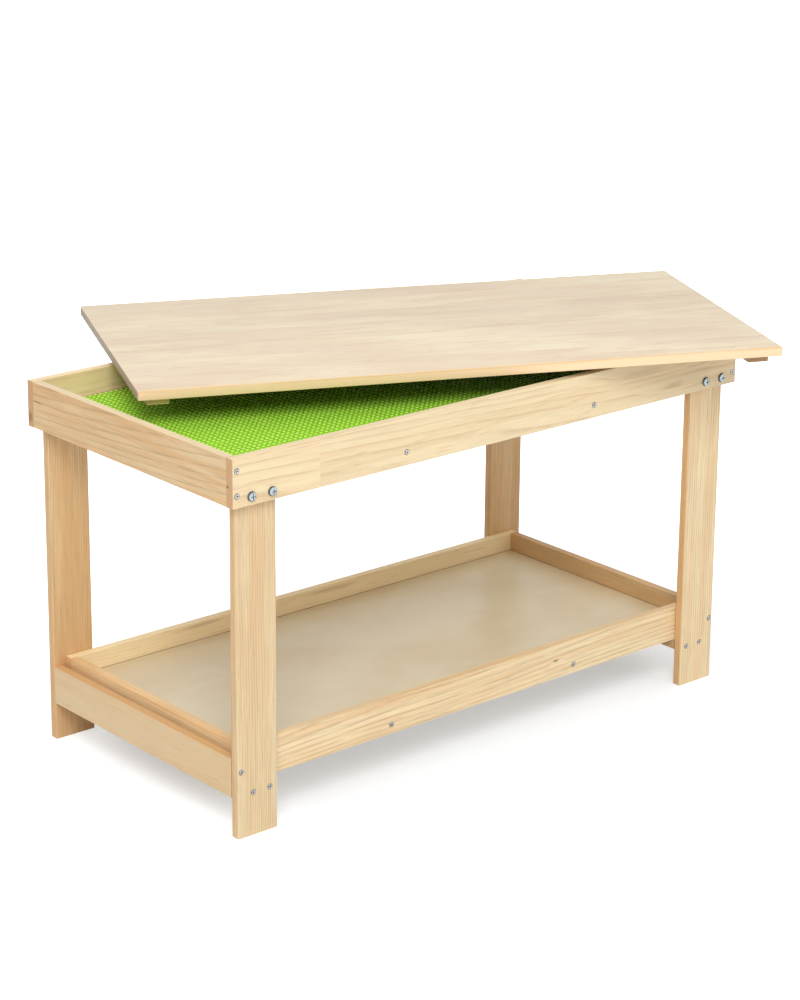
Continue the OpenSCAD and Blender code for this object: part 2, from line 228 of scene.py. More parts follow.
class StudioSettings(bpy.types.PropertyGroup):
    """The floor, lamps and camera"""

    floor: colour_property("Floor", "Pale floor", (0.95, 0.96, 0.985))
    floor_reach: length_property("Floor reach", "Half the width of the floor", 14.0)
    floor_glow: share_property(
        "Floor glow", "How far the floor near the table is lifted to white for the camera", 0.23
    )
    floor_white: colour_property(
        "Floor white", "Slightly cool white that the floor is lifted to", (0.945, 0.98, 1.0)
    )
    floor_white_strength: FloatProperty(
        name="Floor white strength", description="Strength of that white",
        default=1.84, min=0.0, max=4.0,
    )
    fade_start: length_property(
        "Fade start", "Distance from the middle at which the floor begins to turn white", 0.28
    )
    fade_end: length_property("Fade end", "Distance from the middle at which it is white", 0.62)
    fade_squash: share_property(
        "Fade squash", "How much distances along the table count, beside those across it", 0.72
    )
    fade_forward: length_property(
        "Fade forward", "How far the middle of the fade lies in front of the table's", 0.02
    )
    horizon: FloatProperty(
        name="Horizon", description="Strength of the surround at the level of the floor",
        default=0.105, min=0.0, max=2.0,
    )
    zenith: FloatProperty(
        name="Zenith", description="Strength of the surround overhead",
        default=0.785, min=0.0, max=2.0,
    )
    sky_start: share_property(
        "Sky start", "Height at which the surround begins to brighten, 0 level and 1 overhead", 0.25
    )
    sky_end: share_property("Sky end", "Height from which the surround is brightest", 0.6)
    softbox_place: FloatVectorProperty(
        name="Softbox place", description="Where the softbox hangs, high on the left in front",
        default=(-2.8, -3.28, 3.82), size=3, subtype="TRANSLATION",
    )
    softbox_size: length_property("Softbox size", "Side of the square softbox", 2.4)
    softbox_power: FloatProperty(
        name="Softbox power", description="Power of the softbox",
        default=158.0, min=0.0, unit="POWER",
    )
    fill_place: FloatVectorProperty(
        name="Fill place", description="Where the weak fill lamp stands, low on the right in front",
        default=(1.3, -2.4, 0.5), size=3, subtype="TRANSLATION",
    )
    fill_size: length_property("Fill size", "Side of the square fill lamp", 1.0)
    fill_power: FloatProperty(
        name="Fill power", description="Power of the fill lamp",
        default=5.4, min=0.0, unit="POWER",
    )
    lamp_target: FloatVectorProperty(
        name="Lamp target", description="The point that both lamps face",
        default=(0.0, 0.0, 0.3), size=3, subtype="TRANSLATION",
    )
    camera_place: FloatVectorProperty(
        name="Camera place", description="Where the camera stands",
        default=(-2.27460, -2.62388, 1.43431), size=3, subtype="TRANSLATION",
    )
    camera_heading: FloatProperty(
        name="Heading", description="Turn of the camera about the vertical",
        default=math.radians(-40.639), subtype="ANGLE", unit="ROTATION",
    )
    camera_tilt: FloatProperty(
        name="Tilt", description="Angle between the view and straight down",
        default=math.radians(73.471), subtype="ANGLE", unit="ROTATION",
    )
    camera_roll: FloatProperty(
        name="Roll", description="Turn of the camera about its own view",
        default=math.radians(0.486), subtype="ANGLE", unit="ROTATION",
    )
    camera_lens: FloatProperty(
        name="Lens", description="Focal length in millimetres on a 36 mm frame",
        default=99.075, min=1.0,
    )
    camera_rise: FloatProperty(
        name="Rise", description="How far the frame is shifted up, as a share of its height",
        default=-0.1,
    )


# ---- Shader maths ----


class Signal:
    """A shader socket that takes part in Python arithmetic."""

    def __init__(self, finish, socket):
        self.finish = finish
        self.socket = socket

    def maths(self, operation, *values):
        return self.finish.node("Math", {"operation": operation}, dict(enumerate(values)))

    def __add__(self, other):
        return self.maths("ADD", self, other)

    __radd__ = __add__

    def __sub__(self, other):
        return self.maths("SUBTRACT", self, other)

    def __rsub__(self, other):
        return self.maths("SUBTRACT", other, self)

    def __mul__(self, other):
        return self.maths("MULTIPLY", self, other)

    __rmul__ = __mul__

    def __truediv__(self, other):
        return self.maths("DIVIDE", self, other)

    def __abs__(self):
        return self.maths("ABSOLUTE", self)

    def fraction(self):
        return self.maths("FRACT", self)

    def floor(self):
        return self.maths("FLOOR", self)

    def limited(self):
        return self.finish.node("Clamp", {}, {"Value": self})

    def between(self, low, high):
        """0 at low, 1 at high, eased between them."""
        return self.finish.node(
            "MapRange", {"interpolation_type": "SMOOTHSTEP"},
            {"Value": self, "From Min": low, "From Max": high},
        )


class Finish:
    """A material, or the surround, while its nodes are being laid."""

    def __init__(self, owner):
        owner.use_nodes = True
        self.owner = owner
        self.tree = owner.node_tree
        self.tree.nodes.clear()

    @classmethod
    def named(cls, name):
        return cls(bpy.data.materials.new(name))

    def node(self, kind, settings=None, inputs=None, output=0):
        node = self.tree.nodes.new("ShaderNode" + kind)
        for name, value in (settings or {}).items():
            if name == "stops":
                self.set_stops(node.color_ramp, value)
            else:
                setattr(node, name, value)
        for name, value in (inputs or {}).items():
            if isinstance(value, Signal):
                self.tree.links.new(value.socket, node.inputs[name])
            else:
                node.inputs[name].default_value = value
        return Signal(self, node.outputs[output])

    @staticmethod
    def set_stops(ramp, stops):
        while len(ramp.elements) < len(stops):
            ramp.elements.new(1.0)
        for element, (place, grey) in zip(ramp.elements, stops):
            element.position = place
            element.color = (grey, grey, grey, 1.0)

    def object_place(self):
        return self.node("TexCoord", output="Object")

    def facing(self, direction):
        """How squarely the surface faces a direction, either way, from 0 to 1."""
        normal = self.node("TexCoord", output="Normal")
        cosine = self.node(
            "VectorMath", {"operation": "DOT_PRODUCT"}, {0: normal, 1: direction}, "Value"
        )
        return abs(cosine)

    def placed(self, centre, turn):
        """The place on the surface, seen from a board's own centre and directions."""
        return self.node(
            "Mapping", {"vector_type": "TEXTURE"},
            {"Vector": self.object_place(), "Location": centre, "Rotation": turn},
        )

    def scaled(self, vector, factors):
        return self.node("VectorMath", {"operation": "MULTIPLY"}, {0: vector, 1: factors})

    def moved(self, vector, step):
        return self.node("VectorMath", {"operation": "ADD"}, {0: vector, 1: step})

    def length(self, vector):
        return self.node("VectorMath", {"operation": "LENGTH"}, {0: vector}, "Value")

    def noise(self, vector, scale, detail=2.0, roughness=0.5, output="Fac"):
        inputs = {"Vector": vector, "Scale": scale, "Detail": detail, "Roughness": roughness}
        return self.node("TexNoise", {}, inputs, output)

    def drawn_out(self, vector, pattern, output="Fac"):
        """A pattern's noise, drawn out along the vector's X."""
        stretched = self.scaled(vector, (pattern.along, pattern.across, pattern.across))
        return self.noise(stretched, 1.0, pattern.detail, pattern.roughness, output)

    def profile(self, value, stops):
        """Reads a brightness off a list of places and brightnesses."""
        return self.node("ValToRGB", {"stops": stops}, {0: value})

    def part(self, vector, axis):
        return self.node("SeparateXYZ", {}, {0: vector}, axis)

    def blend(self, amount, first, second, mode="MIX"):
        colours = {}
        for socket, value in ((6, first), (7, second)):
            colours[socket] = value if isinstance(value, Signal) else (*value, 1.0)
        return self.node(
            "Mix", {"data_type": "RGBA", "blend_type": mode}, {0: amount, **colours}, 2
        )

    def tinted(self, colour, brightness):
        """A colour made lighter or darker by a number."""
        grey = self.node("CombineColor", {}, {0: brightness, 1: brightness, 2: brightness})
        return self.blend(1.0, colour, grey, "MULTIPLY")

    def bump(self, height, distance, strength=1.0):
        return self.node("Bump", {}, {"Height": height, "Distance": distance, "Strength": strength})

    def close(self, **inputs):
        """Ends the material in one principled shader."""
        names = {name.replace("_", " "): value for name, value in inputs.items()}
        shader = self.node("BsdfPrincipled", {}, names)
        self.node_output(shader)
        return self.owner

    def node_output(self, shader, kind="Material"):
        output = self.tree.nodes.new("ShaderNodeOutput" + kind)
        self.tree.links.new(shader.socket, output.inputs["Surface"])


# ---- Patterns ----


@dataclass
class Pattern:
    """A noise drawn out along the wood: how often it changes in a metre along and across."""

    along: float
    across: float
    detail: float = 3.0
    roughness: float = 0.6


SWAY = Pattern(3.0, 14.0, detail=2.0, roughness=0.45)
RING_FADE = Pattern(14.0, 90.0)
STREAKS = Pattern(14.0, 420.0, roughness=0.65)
FIBRES = Pattern(30.0, 900.0, detail=2.0)
WARM_PATCHES = Pattern(3.0, 11.0, detail=2.0, roughness=0.5)
BROAD_STREAKS = Pattern(2.4, 70.0, roughness=0.55)
FLECKS = Pattern(22.0, 330.0, detail=2.0)

LID_CLOUDS = Pattern(4.0, 9.0)
LID_STREAKS = Pattern(5.0, 36.0)
LID_FIBRES = Pattern(10.0, 300.0)
LID_PORES = Pattern(60.0, 1100.0, detail=2.0)
LID_FLECKS = Pattern(30.0, 260.0)

PANEL_CLOUDS = Pattern(5.0, 7.0, roughness=0.55)
PANEL_VENEER = Pattern(8.0, 90.0)

# How far apart the patterns of two boards, and of two lengths of one board, are taken
BOARD_OFFSET = 7.0
LENGTH_OFFSET = 3.0

# How far from a knot the rings bow out around it, and by how much, beside its own size
KNOT_REACH = 5.0
KNOT_BULGE = 1.6

# Which of the random tones the lid's strips get
STRIP_SEED = 11.0

# How dark the wood is on the way through one growth ring, or one line of the lid
RING_PROFILE = ((0.0, 0.0), (0.4, 0.04), (0.7, 0.3), (0.88, 1.0), (0.95, 0.5), (1.0, 0.0))
LID_LINE_PROFILE = ((0.0, 0.0), (0.5, 0.1), (0.86, 0.8), (0.95, 0.5), (1.0, 0.0))


# ---- Boards ----


@dataclass
class Board:
    """How one board was cut from the tree, and how its finish came out."""

    along: str
    pith: tuple = (0.03, 0.06)
    lean: tuple = (0.6, 1.2)
    tone: float = 1.0
    warmth: float = 0.3
    rings: float = 1.0
    figure: float = 1.0
    edge: float = 0.0
    end_tone: float = 1.0
    end_depth: float = 1.0
    turn: float = 0.0
    joint: float = 0.0
    knots: tuple = ()


LID_TURN = math.radians(-24.8)
ALONG = {
    "X": Matrix.Identity(3),
    "Y": Matrix.Rotation(math.pi / 2, 3, "Z"),
    "Z": Matrix.Rotation(-math.pi / 2, 3, "Y"),
}

# All places are in a board's own directions: along it, to its side and up from its face.
# Pith: where the tree's middle lies from the board's centre, to the side and up, in metres.
# Lean: how far the board leans from the tree's direction, up and to the side, in degrees.
# Tone and warmth: how light the wood is, and how far it goes toward heart wood.
# Rings and figure: how wide its rings are and how strongly its grain shows, beside the usual.
# Edge: how far the narrow sides get a painted orange shade, or turn pale where it is negative.
# End tone: how light its cut ends are, beside those of the other boards.
# End depth: how strongly the brown of the end grain shows there.
# Turn: how far the board is turned about the vertical.
# Joint: where along the board two lengths of wood are joined, if it isn't 0.
# Knots: each one's place along, to the side and up, its half length and half height, and how dark.
TRAY = {
    "tray_front_board": Board(
        "X", (0.075, -0.035), (0.5, 0.9), 1.0, 0.08, 1.5, 0.65, edge=-0.3, joint=-0.29,
        knots=(
            (-0.418, 0.0035, -0.0047, 0.0015, 0.0016, 0.95),
            # These two darker marks on the right are partly wood figure and partly a painted shadow
            # of the lid's overhang.
            (0.298, -0.006, -0.014, 0.016, 0.0025, 0.25),
            (0.25, -0.006, 0.014, 0.03, 0.004, 0.15),
        ),
    ),
    "tray_back_board": Board(
        "X", (-0.05, 0.06), (-0.7, 1.3), 1.1, 0.2, 2.0, 0.45, edge=-0.2, end_tone=0.82,
        knots=((-0.418, 0.003, -0.017, 0.003, 0.006, 0.6),),
    ),
    "tray_left_board": Board(
        "Y", (0.05, 0.05), (1.6, -2.6), 0.94, 0.72, 2.0, 1.1, edge=-0.95,
        knots=((0.189, 0.006, 0.0055, 0.011, 0.0009, 0.6),),
    ),
    "tray_right_board": Board("Y", (0.06, -0.04), (-1.2, 1.8), 0.97, 0.3, 1.6),
    "tray_batten_left": Board("Y", (0.03, 0.05), (0.5, 1.0), 0.97, 0.4),
    "tray_batten_right": Board("Y", (-0.04, 0.04), (-0.5, 1.2), 0.98, 0.3),
}
LEGS = {
    "leg_front_left": Board("Z", (0.02, 0.07), (0.5, 0.9), 0.915, 0.34, 1.0, 0.95, edge=0.5),
    "leg_front_right": Board("Z", (-0.03, 0.08), (-0.6, 0.7), 0.965, 0.22, 1.2, 1.1, edge=0.95),
    "leg_back_left": Board("Z", (0.012, 0.06), (0.4, -0.5), 0.92, 0.9, 1.1, 1.05, edge=0.5),
    "leg_back_right": Board("Z", (-0.02, 0.07), (0.6, 0.6), 0.95, 0.8, 1.1, 1.1, edge=0.5),
}
LOWER_FRAME = {
    "end_rail_left": Board("Y", (0.04, 0.09), (0.8, 1.0), 0.93, 0.45, figure=0.3, edge=0.95),
    "end_rail_right": Board("Y", (-0.05, 0.06), (0.6, 1.4), 0.96, 0.3, edge=0.4),
    "cleat_left": Board("Y", (0.02, -0.05), (0.4, 1.1), 0.92, 0.7),
    "cleat_right": Board("Y", (-0.02, -0.05), (0.5, 1.0), 0.8, 0.9),
}
STORAGE_BOX = {
    "box_front_board": Board(
        "X", (0.1, 0.05), (-0.2, 0.35), 0.99, 0.26, 0.9, 1.15, edge=0.1,
        knots=((0.124, -0.006, 0.0018, 0.0045, 0.0013, 0.8),),
    ),
    # Its tone is raised partly as painted light, making the back board under the tray look lit from
    # the front.
    "box_back_board": Board(
        "X", (0.05, -0.05), (0.8, 1.0), 1.16, 0.02, 1.1, 0.4,
        knots=(
            (-0.18, -0.006, 0.019, 0.03, 0.0022, 0.3),
            (0.044, -0.006, 0.017, 0.04, 0.003, 0.25),
        ),
    ),
    "box_left_board": Board("Y", (0.05, 0.05), (0.7, 1.1), 1.09, 0.75, edge=0.1),
    # Its darker tone is partly painted shade from the box's back corner, and partly the board's own
    # redder wood.
    "box_right_board": Board("Y", (0.04, 0.06), (0.9, -1.0), 0.81, 1.1, 0.9),
    "box_batten_left": Board("Y", (0.03, 0.05), (0.5, 1.0), 0.95, 0.4),
    "box_batten_right": Board("Y", (0.03, -0.05), (0.5, 1.0), 0.97, 0.3),
}
LID_BATTENS = {
    # The left batten is made paler, with little brown at its cut end, as painted light on an end
    # that lies in the lid's shade.
    "lid_batten_left": Board(
        "Y", (0.03, 0.05), (0.5, 1.0), 1.12, 0.08, end_depth=0.1, turn=LID_TURN
    ),
    # The right batten's darker tone is painted shade.
    "lid_batten_right": Board("Y", (-0.03, 0.05), (0.6, 1.1), 0.74, 0.45, turn=LID_TURN),
}


def middle(node):
    low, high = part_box(node)
    return (low + high) / 2


def paint(node, material):
    """Gives a node of the frame its finish."""
    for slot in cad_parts[node].material_slots:
        slot.material = material


def pine_wood(node, board, pine):
    """Sanded pine: growth rings about a pith that leans a little, fine fibres and warm patches."""
    finish = Finish.named("pine_" + node)
    turned = Matrix.Rotation(board.turn, 3, "Z") @ ALONG[board.along]
    centre = middle(node)
    own = finish.placed(centre, turned.to_euler())
    # Each board has its own stretch of the patterns, and so has each length of a joined one
    offset = (*board.pith, board.tone)
    stretch = finish.moved(own, tuple(BOARD_OFFSET * value for value in offset))
    second_length = 0.0
    if board.joint:
        along = finish.part(own, "X")
        second_length = along.maths("GREATER_THAN", along, board.joint)
        step = finish.node("CombineXYZ", {}, {0: second_length * LENGTH_OFFSET})
        stretch = finish.moved(stretch, step)

    lean = Euler((0.0, math.radians(board.lean[0]), math.radians(board.lean[1]))).to_matrix()
    pith = centre + turned @ Vector((0.0, *board.pith))
    tree = finish.placed(pith, (turned @ lean).to_euler())
    sway = finish.moved(finish.drawn_out(stretch, SWAY, "Color"), (-0.5, -0.5, -0.5))
    tree = finish.moved(tree, finish.scaled(sway, (0.0, pine.ring_sway, pine.ring_sway)))
    radius = finish.length(finish.scaled(tree, (0.0, 1.0, 1.0)))
    radius = radius + second_length * pine.joint_step

    knot_core = None
    for *place, long, high, dark in board.knots:
        spot = finish.moved(own, tuple(-value for value in place))
        spot = finish.length(finish.scaled(spot, (1 / long, 1 / high, 1 / high)))
        radius = radius + (1.0 - spot.between(0.0, KNOT_REACH)) * (KNOT_BULGE * high)
        core = (1.0 - spot.between(0.4, 1.6)) * dark
        knot_core = core if knot_core is None else knot_core.maths("MAXIMUM", knot_core, core)

    ring = (radius / (pine.ring_spacing * board.rings)).fraction()
    late = finish.profile(ring, RING_PROFILE)
    late = late * finish.drawn_out(stretch, RING_FADE).between(0.28, 0.6)
    streaks = finish.drawn_out(stretch, STREAKS)
    fibres = finish.drawn_out(stretch, FIBRES)
    patches = finish.drawn_out(stretch, WARM_PATCHES).between(0.3, 0.7)
    broad = finish.drawn_out(stretch, BROAD_STREAKS).between(0.38, 0.66)
    flecks = finish.drawn_out(stretch, FLECKS).between(0.6, 0.72)

    warm = board.warmth * (0.7 + 0.6 * patches)
    warm = warm + (broad - 0.4) * (board.figure * pine.streak_contrast)
    colour = finish.blend(warm.limited(), pine.early_wood, pine.heart_wood)
    colour = finish.blend(late * (board.figure * pine.ring_contrast), colour, pine.late_wood)
    colour = finish.blend(flecks * pine.fleck_contrast, colour, pine.late_wood)
    # Narrow sides get a painted orange shade, or are paled with early wood where the board's edge
    # is negative.
    if board.edge:
        narrow = finish.facing(turned @ Vector((0.0, 0.0, 1.0))).between(0.5, 0.95)
        narrow_side_shade = pine.narrow_side_shade if board.edge > 0 else pine.early_wood
        colour = finish.blend(narrow * abs(board.edge), colour, narrow_side_shade)
    end = finish.facing(turned @ Vector((1.0, 0.0, 0.0))).between(0.7, 0.9)
    end_grain = tuple(board.end_tone * value for value in pine.end_grain)
    colour = finish.blend(end * board.end_depth * (0.8 + 0.2 * late), colour, end_grain)
    grain = 0.4 * board.figure * (streaks - 0.5) + 0.12 * fibres + 0.94
    colour = finish.tinted(colour, (grain - 0.03 * second_length) * board.tone)
    if knot_core is not None:
        colour = finish.blend(knot_core, colour, pine.knot)

    height = late * 0.4 + streaks * 0.4 + fibres * 0.35
    return finish.close(
        Base_Color=colour,
        Roughness=pine.roughness + 0.14 * (streaks - 0.5) + 0.08 * late,
        Normal=finish.bump(height, pine.relief, 0.6),
    )


def finish_boards(boards, settings):
    for node, board in boards.items():
        paint(node, pine_wood(node, board, settings))


def lid_wood(lid, centre, half_width, half_thickness):
    """Pale strips glued side by side, each with its own tone and faint streaks along it."""
    finish = Finish.named("pale_pine_lid")
    turned = Matrix.Rotation(LID_TURN, 3, "Z")
    own = finish.placed(centre, turned.to_euler())
    across = finish.part(own, "Y")
    # Each strip has its own tone and its own stretch of the patterns
    strip = (across / lid.strip_width + lid.strip_shift).floor()
    seed = {"W": strip + STRIP_SEED}
    chance = finish.node("TexWhiteNoise", {"noise_dimensions": "1D"}, seed, "Value")
    shift = finish.node("CombineXYZ", {}, {0: chance * 3.0, 2: chance * 5.0})
    stretch = finish.moved(own, shift)
    broad = finish.drawn_out(stretch, LID_STREAKS)
    fine = finish.drawn_out(stretch, LID_FIBRES)
    pores = finish.drawn_out(stretch, LID_PORES)
    flecks = finish.drawn_out(stretch, LID_FLECKS).between(0.55, 0.72)
    clouds = finish.drawn_out(stretch, LID_CLOUDS)
    ring = (across / lid.line_spacing + clouds * 6.0 + chance * 9.0).fraction()
    line = finish.profile(ring, LID_LINE_PROFILE)
    streak = broad.between(0.42, 0.72) * lid.streak_contrast
    streak = streak + line * broad.between(0.4, 0.6) * lid.line_contrast
    streak = streak + flecks * lid.fleck_contrast

    colour = finish.blend(clouds.between(0.35, 0.65) * 0.7, lid.wood, lid.blush)
    colour = finish.blend(streak, colour, lid.streak)
    colour = finish.tinted(colour, 0.92 + 0.05 * chance + 0.14 * fine + 0.06 * pores)
    knot = finish.moved(own, (-lid.knot_along, lid.knot_across, 0.0))
    knot = finish.length(finish.scaled(knot, (0.5, 1.0, 0.0)))
    knot = 1.0 - knot.between(0.8 * MM, lid.knot_size)
    colour = finish.blend(knot * 0.45, colour, lid.end)
    upright = 1.0 - finish.facing((0.0, 0.0, 1.0)).between(0.4, 0.8)
    long_edge = finish.facing(turned @ Vector((0.0, 1.0, 0.0))).between(0.5, 0.9)
    cut_end = finish.facing(turned @ Vector((1.0, 0.0, 0.0))).between(0.5, 0.9)
    border = abs(across).between(half_width - lid.border_width, half_width - 1 * MM)
    colour = finish.blend(border * 0.3, colour, lid.edge)
    colour = finish.blend(upright * long_edge * 0.85, colour, lid.edge)
    # Cut ends: darker end grain, greyed partly as painted shade.
    colour = finish.blend(upright * cut_end * (0.6 + 0.4 * fine), colour, lid.end)
    height = finish.part(own, "Z")
    arris = height.between(half_thickness - lid.arris_depth, half_thickness - 1 * MM)
    arris = arris * abs(across).between(half_width - lid.arris_width, half_width - 1 * MM)
    colour = finish.blend(arris * broad.between(0.3, 0.5) * 0.7, colour, lid.arris)
    # Painted shade: the underside is coloured browner and darker to keep the gap under the lid
    # dark.
    below = height.between(0.8 * MM - half_thickness, -half_thickness)
    colour = finish.blend(below * 0.9, colour, lid.underside)
    return finish.close(
        Base_Color=colour,
        Roughness=lid.roughness + 0.15 * (fine - 0.5),
        Normal=finish.bump(fine * 0.5 + pores * 0.4 + line * 0.2, lid.relief, 0.5),
    )


def fibreboard(name, panel, node):
    """Smooth thin board with cloudy patches, a soft sheen and painted shade along its boards."""
    finish = Finish.named(name)
    own = finish.placed(middle(node), (0.0, 0.0, 0.0))
    clouds = finish.drawn_out(own, PANEL_CLOUDS)
    veneer = finish.drawn_out(own, PANEL_VENEER)
    specks = finish.noise(own, 700.0, 2.0, 0.6)
    mottle = finish.noise(own, 55.0, 3.0, 0.6)
    colour = finish.blend(clouds.between(0.35, 0.7) * 0.7, panel.face, panel.patch_and_shade)
    colour = finish.tinted(colour, 0.91 + 0.06 * veneer + 0.05 * specks + 0.07 * mottle)
    low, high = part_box(node)
    for axis, reach in (("X", (high.x - low.x) / 2), ("Y", (high.y - low.y) / 2)):
        face = reach - panel.joint_inset
        away = abs(finish.part(own, axis))
        # Painted shade: the panel turns warmer and darker near the boards, standing in for the
        # shade in the corners.
        border = away.between(face - panel.painted_shade_reach, face)
        colour = finish.blend(border * clouds, colour, panel.patch_and_shade)
        near = away.between(face - panel.joint_width, face - 1.0 * MM)
        colour = finish.blend(near * (0.6 + 0.4 * clouds), colour, panel.joint)
    gloss_change = 0.1 * (clouds - 0.5) + 0.06 * veneer + 0.12 * (mottle - 0.5)
    return finish.close(
        Base_Color=colour,
        Roughness=panel.roughness + gloss_change,
        Normal=finish.bump(veneer * 0.5 + specks * 0.3, panel.relief, 0.5),
    )


def plastic(plate, sheet_top):
    """Glossy green plastic with a faint moulded texture, and painted shade that makes it darker
    down between the studs.
    """
    finish = Finish.named("green_plastic")
    own = finish.object_place()
    clouds = finish.noise(own, 30.0, 2.0)
    grain = finish.noise(own, 1500.0, 2.0)
    # Painted shade: the green darkens from the studs' tops down to the sheet between them.
    level = finish.part(own, "Z").between(sheet_top, sheet_top + plate.stud_height)
    colour = finish.blend(level, plate.painted_gap_shade, plate.green)
    return finish.close(
        Base_Color=finish.tinted(colour, 0.95 + 0.1 * clouds),
        Roughness=plate.roughness + 0.1 * (clouds - 0.5) + 0.06 * grain,
        Normal=finish.bump(grain, plate.relief, 0.4),
    )


def zinc(name, bright, flatness, settings):
    """Cloudy zinc plating with fine marks, with painted dark shade and reflection where a head is
    less flat than given.
    """
    finish = Finish.named(name)
    own = finish.object_place()
    clouds = finish.noise(own, 420.0, 2.0)
    marks = finish.noise(finish.scaled(own, (1.0, 6.0, 1.0)), 1800.0, 2.0)
    colour = finish.blend(clouds.between(0.42, 0.72) * 0.8, bright, settings.dull)
    # Painted shade and reflection: the parts of a head that face away from its front are coloured
    # dark.
    painted_shade_and_reflection = 1.0 - finish.facing((0.0, 1.0, 0.0)).between(flatness - 0.1, flatness)
    return finish.close(
        Base_Color=finish.blend(painted_shade_and_reflection * 0.85, colour, settings.rim),
        Metallic=1.0,
        Roughness=settings.roughness + 0.2 * (clouds - 0.4),
        Normal=finish.bump(marks, settings.relief, 0.35),
    )


# ---- Pieces ----

SHARP_ANGLE = math.radians(40)


def place_piece(name, mesh_builder, body, material, replaced):
    """Makes a piece from a bmesh and lets it stand for a node of the frame."""
    mesh = bpy.data.meshes.new(name)
    mesh_builder.to_mesh(mesh)
    mesh_builder.free()
    mesh.materials.append(material)
    piece = bpy.data.objects.new(name, mesh)
    bpy.context.scene.collection.objects.link(piece)
    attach(piece, body)
    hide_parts(replaced)
    return piece


def repeat(bm, step, count):
    """Sets copies of the whole mesh side by side."""
    cell = bm.verts[:] + bm.edges[:] + bm.faces[:]
    for index in range(1, count):
        copy = bmesh.ops.duplicate(bm, geom=cell)["geom"]
        verts = [item for item in copy if isinstance(item, bmesh.types.BMVert)]
        bmesh.ops.translate(bm, verts=verts, vec=step * index)


def ease_edges(bm, edges, width, segments):
    """Chamfers the edges, or rounds them where there is more than one segment."""
    bmesh.ops.bevel(
        bm, geom=edges, offset=width, segments=segments, profile=0.5, affect="EDGES", material=-1
    )


def stud_cell(plate, sheet_top):
    """One stud on its square of the sheet, centred on the origin."""
    bm = bmesh.new()
    bmesh.ops.create_grid(bm, x_segments=1, y_segments=1, size=plate.stud_pitch / 2)
    bmesh.ops.delete(bm, geom=bm.faces[:], context="FACES_ONLY")
    bmesh.ops.subdivide_edges(bm, edges=bm.edges[:], cuts=plate.stud_sides // 4 - 1)
    border = bm.edges[:]
    bmesh.ops.create_circle(bm, segments=plate.stud_sides, radius=plate.stud_diameter / 2)
    foot = [edge for edge in bm.edges if edge not in border]
    raised = bmesh.ops.extrude_edge_only(bm, edges=foot)["geom"]
    top = [item for item in raised if isinstance(item, bmesh.types.BMVert)]
    rim = [item for item in raised if isinstance(item, bmesh.types.BMEdge)]
    bmesh.ops.translate(bm, verts=top, vec=(0.0, 0.0, plate.stud_height))
    rim = [edge for edge in rim if all(vert in top for vert in edge.verts)]
    bmesh.ops.contextual_create(bm, geom=rim)
    bmesh.ops.bridge_loops(bm, edges=border + foot)
    ease_edges(bm, rim, plate.stud_chamfer, segments=1)
    bmesh.ops.translate(bm, verts=bm.verts[:], vec=(0.0, 0.0, sheet_top))
    return bm


def brick_plate(plate, low, high):
    """A sheet with whole studs, as large as the box from low to high."""
    pitch = plate.stud_pitch
    size = high - low
    counts = [round(size[axis] / pitch) for axis in (0, 1)]
    bm = stud_cell(plate, high.z - plate.stud_height)
    centre = (low + high) / 2
    corner = [centre[axis] - (counts[axis] - 1) / 2 * pitch for axis in (0, 1)]
    bmesh.ops.translate(bm, verts=bm.verts[:], vec=(*corner, 0.0))
    repeat(bm, Vector((pitch, 0.0, 0.0)), counts[0])
    repeat(bm, Vector((0.0, pitch, 0.0)), counts[1])
    bmesh.ops.remove_doubles(bm, verts=bm.verts[:], dist=0.01 * MM)
    for place, direction in (
        (low, (-1, 0, 0)), (low, (0, -1, 0)), (high, (1, 0, 0)), (high, (0, 1, 0))
    ):
        bmesh.ops.bisect_plane(
            bm, geom=bm.verts[:] + bm.edges[:] + bm.faces[:], plane_co=place, plane_no=direction,
            clear_outer=True,
        )
    border = [edge for edge in bm.edges if edge.is_boundary]
    skirt = bmesh.ops.extrude_edge_only(bm, edges=border)["geom"]
    verts = [item for item in skirt if isinstance(item, bmesh.types.BMVert)]
    bmesh.ops.translate(bm, verts=verts, vec=(0.0, 0.0, low.z - high.z + plate.stud_height))
    bmesh.ops.holes_fill(bm, edges=[edge for edge in bm.edges if edge.is_boundary], sides=0)
    bmesh.ops.recalc_face_normals(bm, faces=bm.faces[:])
    return bm


def lid_panel(lid, centre, size):
    """The lid's board with rounded corners and eased edges, turned as it lies."""
    bm = bmesh.new()
    bmesh.ops.create_cube(bm, size=1.0)
    bmesh.ops.scale(bm, verts=bm.verts[:], vec=size)
    upright = [
        edge for edge in bm.edges if abs(edge.verts[0].co.z - edge.verts[1].co.z) > size.z / 2
    ]
    ease_edges(bm, upright, lid.corner_radius, segments=6)
    flat = [face for face in bm.faces if abs(face.normal.z) > 0.9]
    rims = [edge for face in flat for edge in face.edges]
    ease_edges(bm, rims, lid.edge_radius, segments=3)
    turn = Matrix.Rotation(LID_TURN, 3, "Z")
    bmesh.ops.rotate(bm, verts=bm.verts[:], cent=(0, 0, 0), matrix=turn)
    bmesh.ops.translate(bm, verts=bm.verts[:], vec=centre)
    return bm


def smooth_shading(piece):
    """Shades the piece smoothly, apart from its sharp edges."""
    mesh = piece.data
    bm = bmesh.new()
    bm.from_mesh(mesh)
    for face in bm.faces:
        face.smooth = True
    for edge in bm.edges:
        edge.smooth = edge.is_manifold and edge.calc_face_angle(0.0) < SHARP_ANGLE
    bm.to_mesh(mesh)
    bm.free()


